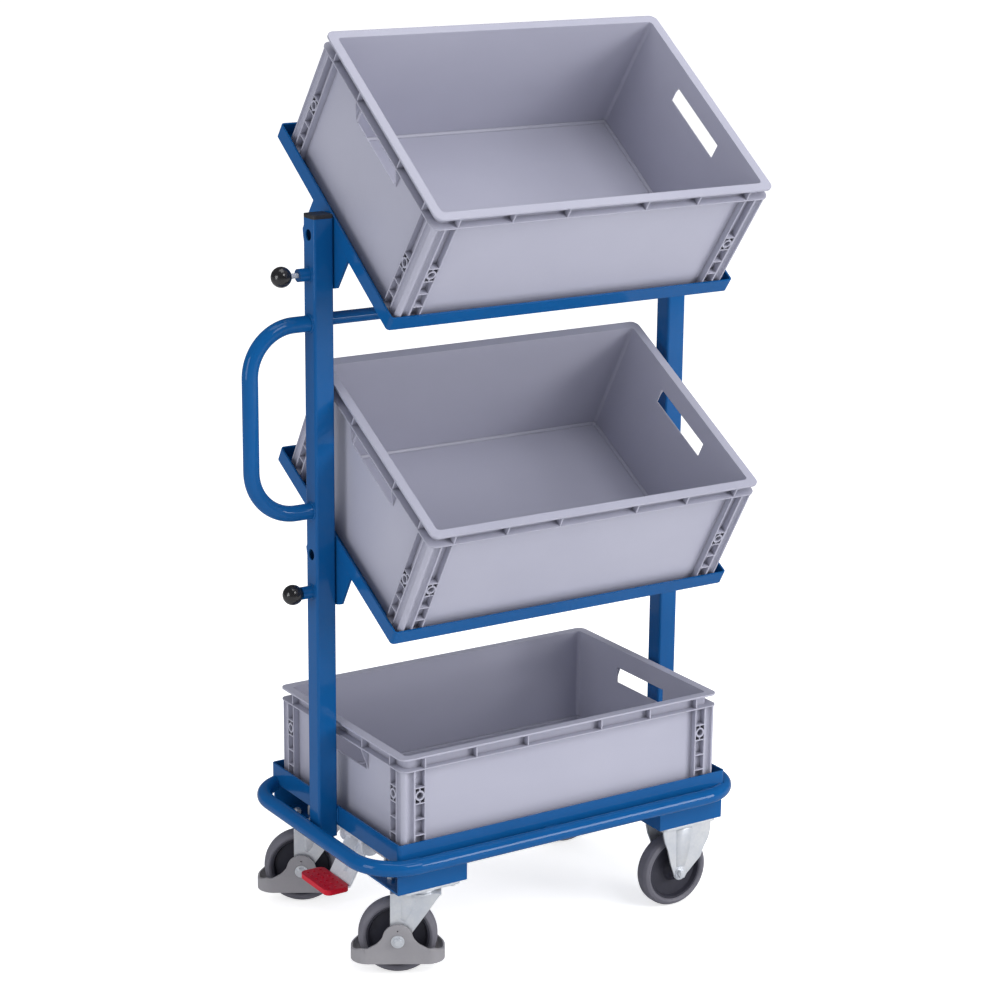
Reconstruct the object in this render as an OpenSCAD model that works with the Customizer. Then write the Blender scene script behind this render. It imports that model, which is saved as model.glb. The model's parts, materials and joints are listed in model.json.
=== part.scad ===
// Bin trolley: two tilting trays between two masts over a low deck on four casters, one bin on each.
// Millimetres. Z = 0 on the floor. Every module is drawn about the floor point midway between the masts,
// and the last block moves all of them so that X = 0 and Y = 0 are the middle of the whole trolley.
// The front is -Y. The handle and the brake pedal are at the left, -X.

/* [Bins] */
// length over the rim of every bin
bin_l = 600; // [560:2:640]
// width over the rim of every bin
bin_w = 400; // [370:2:440]
// height of the two tilted bins
bin_h = 220; // [200:5:240]
// height of the bin on the deck
low_bin_h = 167; // [160:1:190]
// wall and floor thickness
bin_wall = 2; // [1.8:0.1:2.6]
// width of the flat rim seen from above
rim_w = 15; // [14:0.5:18]
// corner radius of the rim
rim_r = 13; // [10:0.5:16]
// height of the band between the rim and the second ring
band_h = 19.5; // [16:0.5:24]

/* [Trays and deck] */
// room along a bin between the upright legs of its tray
bin_room_l = 16; // [10:1:20]
// room across a bin between the upright legs of its tray and of the deck
bin_room_w = 13.2; // [12.4:0.2:16]
// room between the end of a tray and the mast beside it
tray_play = 1.4; // [1:0.1:2]
// leg of the tray angle
tray_leg = 24; // [22:1:28]
// leg of the deck angle
deck_leg = 32.5; // [28:0.5:34]
// thickness of both angles
angle_t = 3; // [2.5:0.5:4]
// height of the caster brackets under the deck
bracket_h = 51.5; // [48:0.5:56]
// tray underside above its pivot
tray_rise = 6; // [5.8:0.1:8]
// forward tilt of the top tray as pictured
top_tilt = 36; // [0:1:36]
// forward tilt of the middle tray as pictured
middle_tilt = 30; // [0:1:30]

/* [Masts] */
// side of the square mast tube
mast = 34; // [30:1:36]
// wall of the mast tube
mast_wall = 2.5; // [2:0.25:3]
// outer corner radius of the mast tube
mast_r = 4; // [3:0.5:6]
// how far the mast tubes rise over the upper pivot
mast_over = 25; // [20:1:40]
// how far the left mast reaches down beside the bumper loop, below the deck's underside
mast_drop = 17.5; // [10:0.5:24]
// pivot height of the top tray
top_pivot = 1151; // [1145:1:1160]
// pivot height of the middle tray
middle_pivot = 651; // [640:1:660]
// index hole distance below a pivot
index_r = 60; // [56:1:64]
// radius of the gusset plate's lower edge about the pivot
gusset_r = 84; // [80:1:90]

/* [Tubes] */
// diameter of the bumper loop tube
loop_d = 25; // [24:0.5:28]
// how far the bumper loop's axis lies below the deck's underside
loop_drop = 1.3; // [0:0.1:4]
// how far the axis of the loop's right leg stands in from the mast's outer face
loop_in = 6.4; // [0:0.2:12]
// bend radius of the loop's and the handle's axis
tube_bend_r = 75; // [60:1:80]
// distance of the loop's rear ends from the deck's rear edge, to their axis
loop_end_in = 6.6; // [4:0.2:20]
// diameter of the handle tube
handle_d = 25; // [20:0.5:28]
// height of the handle's upper leg
handle_top = 1016; // [990:1:1040]
// height of the handle's lower leg
handle_low = 721.5; // [700:0.5:760]
// how far the handle stands out from the mast
handle_out = 101.6; // [90:0.2:120]
// diameter of the cross tube between the masts
cross_d = 20; // [16:1:24]
// height of the cross tube
cross_z = 1020; // [990:1:1040]

/* [Casters] */
// diameter of the wheels
wheel_d = 125; // [120:1:126]
// width of the tyres
tread_w = 30; // [26:1:32]
// height of a caster over its wheel, with its top plate
caster_over = 23; // [22:0.5:28]
// distance of the wheel axle behind the swivel pin
trail = 33; // [30:1:36]
// heading of the swivel casters as pictured
swivel_angle = 149.4; // [120:0.1:180]
// distance of the swivel pins from the deck's left end
swivel_in = 55.9; // [52:0.1:58]
// distance of the fixed casters' axles from the deck's right end
fixed_in = 79.4; // [76:0.2:84]
// distance of the front swivel pin from the deck's front
swivel_front_in = 33.6; // [30:0.2:37]
// distance of the fixed front caster from the deck's front
fixed_front_in = 34.6; // [32:0.2:37]
// distance of both rear casters from the deck's rear
rear_in = 68.6; // [60:0.2:72]
// outside width of the forks
fork_w = 52; // [50:1:56]
// ball knob diameter of the index plungers
ball_d = 32; // [30:1:35]

/* [Hidden] */
$fn = 64;
clear = 0.05;
gap = 0.4;
seat_gap = 0.3;
tray_l = bin_l + bin_room_l + 2 * angle_t;
frame_w = bin_w + bin_room_w + 2 * angle_t;
mast_span = tray_l + 2 * tray_play;
caster_h = wheel_d + caster_over;
deck_z = caster_h + bracket_h;
mast_top = top_pivot + mast_over;
mast_foot = deck_z - mast_drop;
mast_x = mast_span / 2 + mast / 2;
mast_out = mast_span / 2 + mast;
deck_l = mast_span;
loop_r = loop_d / 2;
loop_left = mast_out + loop_r;
loop_right = mast_out - loop_in;
loop_y = frame_w / 2 + loop_r;
loop_z = deck_z - loop_drop;
loop_back = frame_w / 2 - loop_end_in - tube_bend_r;
mid_x = (mast_out + handle_out + handle_d / 2 - loop_right - loop_r) / 2;
mid_y = 45;
cap_h = 6;
cap_plug = 14;
plate_t = 4.5;
pivot_r = 4;
pivot_head_r = 5.6;
washer_t = tray_play - 0.2;
access_r = 8.75;
spindle_r = 4;
collar_r = 7;
collar_t = 4;
collar_in = 4;
ball_flat_r = 7.75;
ball_steps = 20;
boss_r = 10;
boss_l = 19;
web_z = caster_h;
web_t = 3;
bracket_w = 125;
bracket_out = deck_l / 2 - 1.4;
bracket_in = bracket_out - bracket_w;
bracket_y = frame_w / 2 - 4.6;
bracket_len = 117;
swivel_x = deck_l / 2 - swivel_in;
fixed_x = deck_l / 2 - fixed_in;
swivel_front_y = swivel_front_in - frame_w / 2;
fixed_front_y = fixed_front_in - frame_w / 2;
rear_y = frame_w / 2 - rear_in;
plate_l = 105;
plate_w = 70;
plate_h = 4;
race_h = 3.2;
race_r = 28;
head_h = 3.2;
plate_x = (bracket_in + bracket_out) / 2;
fixed_rows = 14;
fork_top = caster_h - plate_h - race_h - gap;
fork_t = 3;
crown_r = 32;
crown_boss = 2;
axle_z = wheel_d / 2;
axle_r = 5;
leg_tip_r = 12;
hub_r = wheel_d / 2 - 12.5;
hub_half = fork_w / 2 - fork_t - 3;
nut_h = 7;
nut_across = 15;
flange_r = 10.5;
flange_t = 1.6;
leg_back = 45;
leg_front = 35;
fixed_short = 36;
fixed_long = 60;
guard_l = wheel_d / 2 + 11.5;
guard_w = fork_w / 2 + 7;
guard_t = 3.5;
guard_low = axle_z - 38.5;
guard_side = axle_z - 13;
guard_end = guard_side - 8.5;
guard_slope = guard_l - 17;
guard_r = 28;
bell_r = 24;
bell_up = 4;
shaft_x = deck_l / 2 - 50.4;
shaft_z = web_z + 13;
shaft_r = 6;
shaft_over = 8;
bearing_spots = [bracket_len - 14 - bracket_y, bracket_y - 55];
bearing_r = 14;
bearing_t = 5;
sleeve_r = 10;
cheek_r = 18;
cheek_t = 4;
strap_t = 3;
rib_w = 22;
post_in = 2.5;
rib = 2.5;
ridge_r = 8;
groove_r = 6;
cell_near = 25;
cell_w = 16;
post_w = cell_near + cell_w + rib;
rung_step = 26;
grip_l = 134;
grip_h = 27;
grip_low = 60;
fin_h = 38;
bin_x = -4;
bin_forward = bin_room_w / 2 + post_in - seat_gap;
low_bin_y = -6;
long_ribs = [70, 165];
end_rib = 71.5;
floor_up = 4;
lever_w = 66;
pad_x = -deck_l / 2 - 12.1;
pad_y = 6.5;
pad_z = shaft_z - 69;
pad_l = 43;
pad_w = 92;
pad_h = 9;
pad_r = 10;

blue = [0.08, 0.33, 0.59];
grey = [0.66, 0.66, 0.74];
zinc = [0.74, 0.75, 0.77];
black = [0.07, 0.07, 0.08];
guard_grey = [0.55, 0.54, 0.55];
tyre_grey = [0.40, 0.38, 0.41];
hub_dark = [0.16, 0.16, 0.19];
red = [0.70, 0.06, 0.15];

// plain shapes used by several sub-parts
module slab(l, w, h) {
    translate([-l / 2, -w / 2, 0]) cube([l, w, h]);
}

module round_slab(l, w, h, r) {
    slab(l - 2 * r, w, h);
    slab(l, w - 2 * r, h);
    for (sx = [-1, 1], sy = [-1, 1])
        translate([sx * (l / 2 - r), sy * (w / 2 - r), 0]) cylinder(r = r, h = h);
}

module rod_x(r, x0, x1) {
    translate([x0, 0, 0]) rotate([0, 90, 0]) cylinder(r = r, h = x1 - x0);
}

module rod_y(r, y0, y1) {
    translate([0, y0, 0]) rotate([-90, 0, 0]) cylinder(r = r, h = y1 - y0);
}

module angle_ring(l, w, leg, t) {
    difference() {
        round_slab(l, w, leg, 2 * t);
        translate([0, 0, t]) round_slab(l - 2 * t, w - 2 * t, leg, t);
        translate([0, 0, -1]) slab(l - 2 * leg, w - 2 * leg, leg);
    }
}

module tube_bend(bend, r) {
    rotate_extrude(angle = 90) translate([bend, 0]) circle(r = r);
}

// deck, brackets and loop
module deck_frame() {
    color(blue) translate([0, 0, deck_z]) angle_ring(deck_l, frame_w, deck_leg, angle_t);
}

// one end leg with its two bends; the rear one runs into the deck's end
module loop_side(x) {
    front = tube_bend_r - loop_y;
    translate([x, 0, 0]) rod_y(loop_r, front, loop_back);
    translate([x - tube_bend_r, front, 0]) rotate(-90) tube_bend(tube_bend_r, loop_r);
    translate([x - tube_bend_r, loop_back, 0]) tube_bend(tube_bend_r, loop_r);
}

module bumper_loop() {
    color(blue) difference() {
        translate([0, 0, loop_z]) {
            translate([0, -loop_y, 0]) rod_x(loop_r, tube_bend_r - loop_left, loop_right - tube_bend_r);
            loop_side(loop_right);
            mirror([1, 0, 0]) loop_side(loop_left);
        }
        translate([-deck_l / 2, -frame_w / 2, loop_z - loop_d])
            cube([deck_l, frame_w + 2 * loop_d, 2 * loop_d]);
    }
}

// a folded bracket: end wall, flat web for the caster and an upright inner side
module bracket(sx, sy, px, py) {
    color(blue) difference() {
        union() {
            translate([sx * plate_x, sy * (bracket_y - web_t / 2), web_z])
                slab(bracket_w, web_t, bracket_h);
            translate([sx * plate_x, sy * (bracket_y - bracket_len / 2), web_z])
                slab(bracket_w, bracket_len, web_t);
            translate([sx * (bracket_in + web_t / 2), sy * (bracket_y - bracket_len / 2), web_z])
                slab(web_t, bracket_len, bracket_h);
        }
        plate_holes(px, py);
    }
}

module bracket_front_left() {
    bracket(-1, -1, -swivel_x, swivel_front_y);
}

module bracket_rear_left() {
    bracket(-1, 1, -swivel_x, rear_y);
}

module bracket_front_right() {
    bracket(1, -1, fixed_x, fixed_front_y);
}

module bracket_rear_right() {
    bracket(1, 1, fixed_x, rear_y);
}

// masts
module square_tube(side, wall, r, z0, z1) {
    translate([0, 0, z0]) difference() {
        round_slab(side, side, z1 - z0, r);
        translate([0, 0, -1]) round_slab(side - 2 * wall, side - 2 * wall, z1 - z0 + 2, r - wall);
    }
}

// the mast's holes, with the outer face towards +X: pivot, wrench access, plunger and cross tube
module mast_holes(pivot, plunger) {
    translate([0, 0, pivot]) {
        rod_x(pivot_r + clear, -mast / 2 - 1, 0);
        rod_x(access_r, 0, mast / 2 + 1);
        if (plunger) translate([0, 0, -index_r]) rod_x(spindle_r + clear, -mast / 2 - 1, mast / 2 + 1);
    }
}

module mast_left() {
    color(blue) translate([-mast_x, 0, 0]) mirror([1, 0, 0]) difference() {
        square_tube(mast, mast_wall, mast_r, mast_foot, mast_top);
        mast_holes(top_pivot, true);
        mast_holes(middle_pivot, true);
    }
}

module mast_right() {
    color(blue) difference() {
        translate([mast_x, 0, 0]) difference() {
            square_tube(mast, mast_wall, mast_r, deck_z, mast_top);
            mast_holes(top_pivot, false);
            mast_holes(middle_pivot, false);
        }
        translate([loop_right, 0, loop_z]) rod_y(loop_r, -mast, mast);
    }
}

module mast_caps() {
    color(black) for (sx = [-1, 1]) translate([sx * mast_x, 0, mast_top]) {
        round_slab(mast, mast, cap_h, mast_r);
        translate([0, 0, -cap_plug])
            round_slab(mast - 2 * mast_wall - 0.2, mast - 2 * mast_wall - 0.2, cap_plug + 1, mast_r - mast_wall);
    }
}

module handle() {
    reach = handle_out - tube_bend_r;
    color(blue) translate([-mast_out, 0, 0]) {
        for (z = [handle_top, handle_low]) translate([0, 0, z]) rod_x(handle_d / 2, -reach, 0);
        translate([-handle_out, 0, handle_low + tube_bend_r])
            cylinder(d = handle_d, h = handle_top - handle_low - 2 * tube_bend_r);
        translate([-reach, 0, handle_top - tube_bend_r])
            rotate([90, 0, 0]) rotate(90) tube_bend(tube_bend_r, handle_d / 2);
        translate([-reach, 0, handle_low + tube_bend_r])
            rotate([90, 0, 0]) rotate(180) tube_bend(tube_bend_r, handle_d / 2);
    }
}

module cross_tube() {
    color(blue) translate([0, 0, cross_z]) difference() {
        rod_x(cross_d / 2, -mast_span / 2, mast_span / 2);
        rod_x(cross_d / 2 - 2, -mast_span / 2 - 1, mast_span / 2 + 1);
    }
}

// pivots: the nut sits in the mast, behind the wrench hole
module pivot_bolts() {
    color(zinc) for (z = [top_pivot, middle_pivot], sx = [-1, 1])
        translate([sx * mast_span / 2, 0, z]) mirror([sx < 0 ? 1 : 0, 0, 0]) {
            rod_x(pivot_r, -(mast_span - tray_l) / 2 - plate_t - gap, mast_wall + 9);
            rod_x(pivot_head_r, -(mast_span - tray_l) / 2 - plate_t - gap - 3, -(mast_span - tray_l) / 2 - plate_t - gap);
        }
}

module pivot_nuts() {
    color(zinc) for (z = [top_pivot, middle_pivot], sx = [-1, 1])
        translate([sx * (mast_span / 2 + mast_wall + 3.25), 0, z]) rotate([0, 90, 0]) difference() {
            translate([0, 0, -3.25]) cylinder(d = 15, h = 6.5, $fn = 6);
            translate([0, 0, -4]) cylinder(r = pivot_r + clear, h = 8);
        }
}

module pivot_washers() {
    color(zinc) for (z = [top_pivot, middle_pivot], sx = [-1, 1])
        translate([sx * (mast_span / 2 - washer_t / 2), 0, z]) rotate([0, 90, 0]) difference() {
            translate([0, 0, -washer_t / 2]) cylinder(r = 8, h = washer_t);
            translate([0, 0, -washer_t]) cylinder(r = pivot_r + clear, h = 2 * washer_t);
        }
}

module plunger_bosses() {
    color(blue) for (z = [top_pivot, middle_pivot])
        translate([-mast_out, 0, z - index_r]) difference() {
            union() {
                rod_x(boss_r, -boss_l, 0);
                rod_x(boss_r + 1.5, -2, 0);
            }
            rod_x(spindle_r + clear, -boss_l - 1, 1);
        }
}

// index plungers: out is the extra distance that the pin stands out of its home position
module spindle(z, out) {
    home = mast_out + 33.5 + out;
    tip = tray_l / 2 + gap;
    color(zinc) translate([0, 0, z - index_r]) {
        rod_x(spindle_r, -home + ball_d / 4, -tip);
        translate([collar_in - mast_x - out, 0, 0]) rod_x(collar_r, -collar_t / 2, collar_t / 2);
    }
}

module plunger_ball(z, out) {
    home = mast_out + 33.5 + out;
    bore = spindle_r + clear;
    flat = sqrt(ball_d * ball_d / 4 - ball_flat_r * ball_flat_r);
    end = acos(ball_flat_r * 2 / ball_d);
    color(black) translate([-home, 0, z - index_r]) rotate([0, 90, 0]) rotate_extrude() polygon(concat(
        [for (i = [0:ball_steps]) let (a = (end + 90) * i / ball_steps - 90) ball_d / 2 * [cos(a), sin(a)]],
        [[bore, flat], [bore, ball_d / 4 - clear], [0, ball_d / 4 - clear]]));
}

module top_plunger_spindle() {
    spindle(top_pivot, 13);
}

module top_plunger_ball() {
    plunger_ball(top_pivot, 13);
}

module middle_plunger_spindle() {
    spindle(middle_pivot, 0);
}

module middle_plunger_ball() {
    plunger_ball(middle_pivot, 0);
}

// trays, drawn about their pivot and then tilted forward
module tilted(pivot, tilt) {
    translate([0, 0, pivot]) rotate([tilt, 0, 0]) children();
}

module tray_frame() {
    color(blue) translate([0, 0, tray_rise]) angle_ring(tray_l, frame_w, tray_leg, angle_t);
}

module gusset() {
    half = 65;
    straight = 47;
    rotate([90, 0, 90]) difference() {
        intersection() {
            union() {
                cylinder(r = gusset_r, h = plate_t);
                translate([-half, -straight, 0]) cube([2 * half, straight + tray_rise, plate_t]);
            }
            translate([-half, -gusset_r, -1]) cube([2 * half, gusset_r + tray_rise, plate_t + 2]);
        }
        translate([0, 0, -1]) cylinder(r = pivot_r + clear, h = plate_t + 2);
        for (a = [-30, 0, 30])
            rotate(a) translate([0, -index_r, -1]) cylinder(r = spindle_r + 0.3, h = plate_t + 2);
    }
}

module tray_gussets() {
    color(blue) {
        translate([-tray_l / 2, 0, 0]) gusset();
        translate([tray_l / 2 - plate_t, 0, 0]) gusset();
    }
}

module top_tray_frame() {
    tilted(top_pivot, top_tilt) tray_frame();
}

module top_tray_gussets() {
    tilted(top_pivot, top_tilt) tray_gussets();
}

module middle_tray_frame() {
    tilted(middle_pivot, middle_tilt) tray_frame();
}

module middle_tray_gussets() {
    tilted(middle_pivot, middle_tilt) tray_gussets();
}

// bins
// one face of a corner post: ladder cells with a ring in the upper one, and a rounded groove
module post_cuts(h) {
    depth = rim_w - bin_wall - post_in;
    band = h - band_h - rib;
    for (z = [12 : rung_step : 12 + 2 * rung_step])
        translate([cell_near, post_in - 1, z + 1]) cube([cell_w, depth + 1, rung_step - 2]);
    translate([cell_near, post_in - 1, -1]) cube([cell_w, depth + 1, 12]);
    translate([cell_near, post_in - 1, 12 + 4 * rung_step + 1])
        cube([cell_w, depth + 1, band - 12 - 4 * rung_step - 1]);
    translate([cell_near + cell_w / 2, post_in - 1, 12 + 3.5 * rung_step]) ring_cell(depth + 1);
    translate([cell_near - rib - groove_r - 0.5, post_in, -1]) cylinder(r = groove_r, h = band + 1);
}

module ring_cell(depth) {
    difference() {
        translate([-cell_w / 2, 0, 1 - rung_step / 2]) cube([cell_w, depth, rung_step - 2]);
        translate([0, depth / 2 + 1.5, 0]) rotate([90, 0, 0]) cylinder(d = cell_w + 0.6, h = depth + 1, center = true);
        translate([-1, 1.5, -rung_step / 2]) cube([2, depth, rung_step]);
    }
    rotate([-90, 0, 0]) cylinder(d = cell_w - 5, h = depth);
}

// a corner post standing from the base to the second ring, the corner at the origin
module post(h) {
    band = h - band_h - rib;
    difference() {
        union() {
            translate([post_in + ridge_r, post_in + ridge_r, 0]) cylinder(r = ridge_r, h = band);
            translate([post_in + ridge_r, post_in, 0])
                cube([post_w - post_in - ridge_r, rim_w - post_in, band]);
            translate([post_in, post_in + ridge_r, 0])
                cube([rim_w - post_in, post_w - post_in - ridge_r, band]);
        }
        post_cuts(h);
        mirror([1, -1, 0]) post_cuts(h);
    }
}

module band_ribs(h) {
    for (sx = [-1, 1], sy = [-1, 1]) {
        for (x = concat(long_ribs, bin_l / 2 - post_w + rib / 2))
            translate([sx * x - rib / 2, sy * (bin_w / 2 - rim_w / 2 - 0.5) - rim_w / 2 + 1, h - band_h - 1])
                cube([rib, rim_w - 2, band_h]);
        for (y = [end_rib, bin_w / 2 - post_w + rib / 2])
            translate([sx * (bin_l / 2 - rim_w / 2 - 0.5) - rim_w / 2 + 1, sy * y - rib / 2, h - band_h - 1])
                cube([rim_w - 2, rib, band_h]);
    }
}

// triangular fins flank each grip opening on the outside
module grip_hood(h) {
    out = rim_w - bin_wall;
    for (sy = [-1, 1])
        translate([0, sy * (grip_l / 2 + 5) + rib / 2, h - band_h - rib]) rotate([90, 0, 0]) linear_extrude(rib)
            polygon([[0, 0], [out, 0], [out, -2], [0, -fin_h]]);
}

module bin(h) {
    wall_l = bin_l - 2 * (rim_w - bin_wall);
    wall_w = bin_w - 2 * (rim_w - bin_wall);
    color(grey) difference() {
        union() {
            difference() {
                union() {
                    round_slab(wall_l, wall_w, h, 8);
                    for (sx = [0, 1], sy = [0, 1])
                        mirror([sx, 0, 0]) mirror([0, sy, 0])
                            translate([-bin_l / 2, -bin_w / 2, 0]) post(h);
                    translate([0, 0, h - 3]) round_slab(bin_l, bin_w, 3, rim_r);
                    translate([0, 0, h - band_h - rib]) round_slab(bin_l, bin_w, 2, rim_r);
                    band_ribs(h);
                }
                translate([0, 0, floor_up + bin_wall])
                    round_slab(bin_l - 2 * rim_w, bin_w - 2 * rim_w, h, 6);
                translate([0, 0, -1]) round_slab(wall_l - 24, wall_w - 24, floor_up + 1, 6);
            }
            for (sx = [0, 1]) mirror([sx, 0, 0])
                translate([bin_l / 2 - rim_w + bin_wall - 0.5, 0, 0]) grip_hood(h);
        }
        for (sx = [-1, 1]) translate([sx * (bin_l / 2 - rim_w + 1), 0, h - grip_low])
            slab(3 * rim_w, grip_l, grip_h);
    }
}

module top_bin() {
    tilted(top_pivot, top_tilt) translate([bin_x, -bin_forward, tray_rise + angle_t]) bin(bin_h);
}

module middle_bin() {
    tilted(middle_pivot, middle_tilt) translate([bin_x, -bin_forward, tray_rise + angle_t]) bin(bin_h);
}

module low_bin() {
    translate([bin_x, low_bin_y, deck_z + angle_t]) bin(low_bin_h);
}

// casters
// the plate is offset towards the frame's middle at the front, where the pin is close to the end wall
module plate_holes(px, py) {
    for (c = hole_spots(px, py))
        translate([c[0], c[1], web_z - plate_h - 1]) cylinder(r = 4.2, h = plate_h + web_t + 2);
}

function plate_mid(py) = py < 0 ? -bracket_y + plate_w / 2 : py;
function plate_mid_x(px) = px < 0 ? -plate_x : plate_x;
function hole_rows(px, py) = px < 0 ? [plate_mid(py) - 25, plate_mid(py) + 25] : [py - fixed_rows, py + fixed_rows];
function hole_spots(px, py) = [for (sx = [-1, 1], y = hole_rows(px, py)) [plate_mid_x(px) + sx * 40, y]];
caster_spots = [[-swivel_x, swivel_front_y], [-swivel_x, rear_y], [fixed_x, fixed_front_y], [fixed_x, rear_y]];

module caster_plate(px, py, pinned) {
    difference() {
        translate([plate_mid_x(px), plate_mid(py), web_z - plate_h]) round_slab(plate_l, plate_w, plate_h, 8);
        plate_holes(px, py);
        if (pinned) translate([px, py, web_z - plate_h - 1]) cylinder(r = 6 + clear, h = plate_h + 2);
    }
}

module caster_plates() {
    color(zinc) {
        caster_plate(-swivel_x, swivel_front_y, true);
        caster_plate(-swivel_x, rear_y, true);
        caster_plate(fixed_x, fixed_front_y, false);
        caster_plate(fixed_x, rear_y, false);
        for (y = [swivel_front_y, rear_y])
            translate([-swivel_x, y, web_z - plate_h - race_h]) race();
    }
}

module race() {
    difference() {
        cylinder(r = race_r, h = race_h);
        translate([0, 0, -1]) cylinder(r = 6 + clear, h = race_h + 2);
    }
}

module swivel_pins() {
    head_top = fork_top - fork_t - crown_boss - gap;
    color(zinc) for (y = [swivel_front_y, rear_y]) translate([-swivel_x, y, 0]) {
        translate([0, 0, head_top - 6]) cylinder(r = 6, h = web_z - head_top + 6);
        translate([0, 0, head_top - 6]) cylinder(r = 10, h = 6);
    }
}

module caster_bolts() {
    color(zinc) for (p = caster_spots, c = hole_spots(p[0], p[1])) translate([c[0], c[1], web_z - plate_h]) {
        translate([0, 0, -head_h]) cylinder(r = 6.5, h = head_h);
        translate([0, 0, -1]) cylinder(r = 4, h = plate_h + web_t + 10);
    }
}

module caster_nuts() {
    color(zinc) for (p = caster_spots, c = hole_spots(p[0], p[1]))
        translate([c[0], c[1], web_z + web_t]) difference() {
            cylinder(d = 15, h = 6.5, $fn = 6);
            translate([0, 0, -1]) cylinder(r = 4 + clear, h = 9);
        }
}

module at_swivel(y) {
    translate([-swivel_x, y, 0]) rotate(swivel_angle) children();
}

// a fork leg in the plane of the wheel: back edge upright, front edge sloping to the tip round the axle
module leg_shape(ax, back, front, top) {
    run = ax + front;
    drop = top - axle_z;
    dist = sqrt(run * run + drop * drop);
    heading = atan2(-drop, run) - asin(leg_tip_r / dist);
    reach = sqrt(dist * dist - leg_tip_r * leg_tip_r);
    polygon([[-front, top], [back, top], [ax + leg_tip_r, axle_z], [ax, axle_z],
        [-front + reach * cos(heading), top + reach * sin(heading)]]);
    translate([ax, axle_z]) circle(r = leg_tip_r + clear);
}

module fork(ax, back, front, top, pin) {
    color(zinc) difference() {
        union() {
            for (sy = [-1, 1]) translate([0, sy * (fork_w / 2 - fork_t / 2) + fork_t / 2, 0])
                rotate([90, 0, 0]) linear_extrude(fork_t) leg_shape(ax, back, front, top);
            translate([-front, -fork_w / 2, top - fork_t]) cube([back + front, fork_w, fork_t]);
            if (pin) translate([0, 0, top - fork_t]) cylinder(r = crown_r, h = fork_t);
            if (pin) translate([0, 0, top - fork_t - crown_boss]) cylinder(r = 20, h = crown_boss + 1);
        }
        translate([ax, 0, axle_z]) rod_y(axle_r + clear, -fork_w, fork_w);
        if (pin) translate([0, 0, top - fork_t - 3]) cylinder(r = 6 + clear, h = fork_t + 6);
    }
}

module fork_front_left() {
    at_swivel(swivel_front_y) fork(trail, leg_back, leg_front, fork_top, true);
}

module fork_rear_left() {
    at_swivel(rear_y) fork(trail, leg_back, leg_front, fork_top, true);
}

// the fixed fork flares to its plate, more towards the outer end
module fixed_leg() {
    top = web_z - plate_h;
    short = -fixed_short;
    long = fixed_long;
    polygon([[short, top], [short, top - 6], [short + 4, top - 22], [short + 10, top - 36],
        [short + 16, axle_z + 21.5], [0.6 - leg_tip_r, axle_z - 3], [0, axle_z], [leg_tip_r - 1.6, axle_z - 6],
        [long - 19, axle_z + 21.5], [long - 14, axle_z + 34.5], [long - 4, top - 30], [long, top - 14],
        [long, top]]);
    translate([0, axle_z]) circle(r = leg_tip_r);
}

module fixed_fork(y) {
    color(zinc) translate([fixed_x, y, 0]) difference() {
        union() {
            for (sy = [-1, 1]) translate([0, sy * (fork_w / 2 - fork_t / 2) + fork_t / 2, 0])
                rotate([90, 0, 0]) linear_extrude(fork_t) fixed_leg();
            translate([-fixed_short, -fork_w / 2, web_z - plate_h - fork_t])
                cube([fixed_short + fixed_long, fork_w, fork_t]);
        }
        translate([0, 0, axle_z]) rod_y(axle_r + clear, -fork_w, fork_w);
        for (c = hole_spots(fixed_x, y)) translate([c[0] - fixed_x, c[1] - y, web_z - plate_h - fork_t - 1])
            cylinder(r = 6.7, h = fork_t + 2);
    }
}

module fork_front_right() {
    fixed_fork(fixed_front_y);
}

module fork_rear_right() {
    fixed_fork(rear_y);
}

// a foot guard: a low wall round the wheel with a bell-shaped plate over each axle end
module guard_plan(grow) {
    l = 2 * (guard_l + grow);
    w = 2 * (guard_w + grow);
    round_slab(l, w, guard_side - guard_low, guard_r + grow);
}

module bell() {
    edge = guard_side - axle_z;
    flare = [[edge + 0.5, 47], [-8.5, 40], [-5.5, 34.5], [-2, 30.5], [1.5, 27.5], [bell_up, 25.5],
        [bell_up + 4, bell_r - 0.4]];
    rotate([90, 0, 0]) linear_extrude(guard_t) difference() {
        union() {
            translate([0, bell_up]) circle(r = bell_r);
            polygon(concat([[-52, edge - 6], [-52, edge]], [for (f = flare) [-f[1], f[0]]],
                [for (i = [len(flare) - 1:-1:0]) [flare[i][1], flare[i][0]]], [[52, edge], [52, edge - 6]]));
        }
        translate([0, 17.5]) circle(r = 1.3);
    }
}

// what is taken off the wall so that it drops towards both ends
module guard_drop() {
    rotate([90, 0, 0]) translate([0, 0, -guard_w - 1]) linear_extrude(2 * guard_w + 2)
        for (s = [-1, 1]) scale([s, 1])
            polygon([[guard_slope, guard_side], [guard_l + 1, guard_end], [guard_l + 1, guard_side + 1],
                [guard_slope, guard_side + 1]]);
}

module guard() {
    color(guard_grey) translate([trail, 0, 0]) difference() {
        union() {
            translate([0, 0, guard_low]) difference() {
                guard_plan(0);
                translate([0, 0, -1]) scale([1, 1, 1.2]) guard_plan(-guard_t);
            }
            for (sy = [-1, 1]) translate([0, sy * (guard_w - guard_t / 2) + guard_t / 2, axle_z]) bell();
        }
        guard_drop();
        translate([0, 0, axle_z]) rod_y(axle_r + clear, -guard_w - 1, guard_w + 1);
    }
}

module guard_front_left() {
    at_swivel(swivel_front_y) guard();
}

module guard_rear_left() {
    at_swivel(rear_y) guard();
}

// axles, nuts, hubs and tyres, drawn along Y at the wheel's centre
module axle(half) {
    color(zinc) rod_y(axle_r, -half, half);
}

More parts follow.
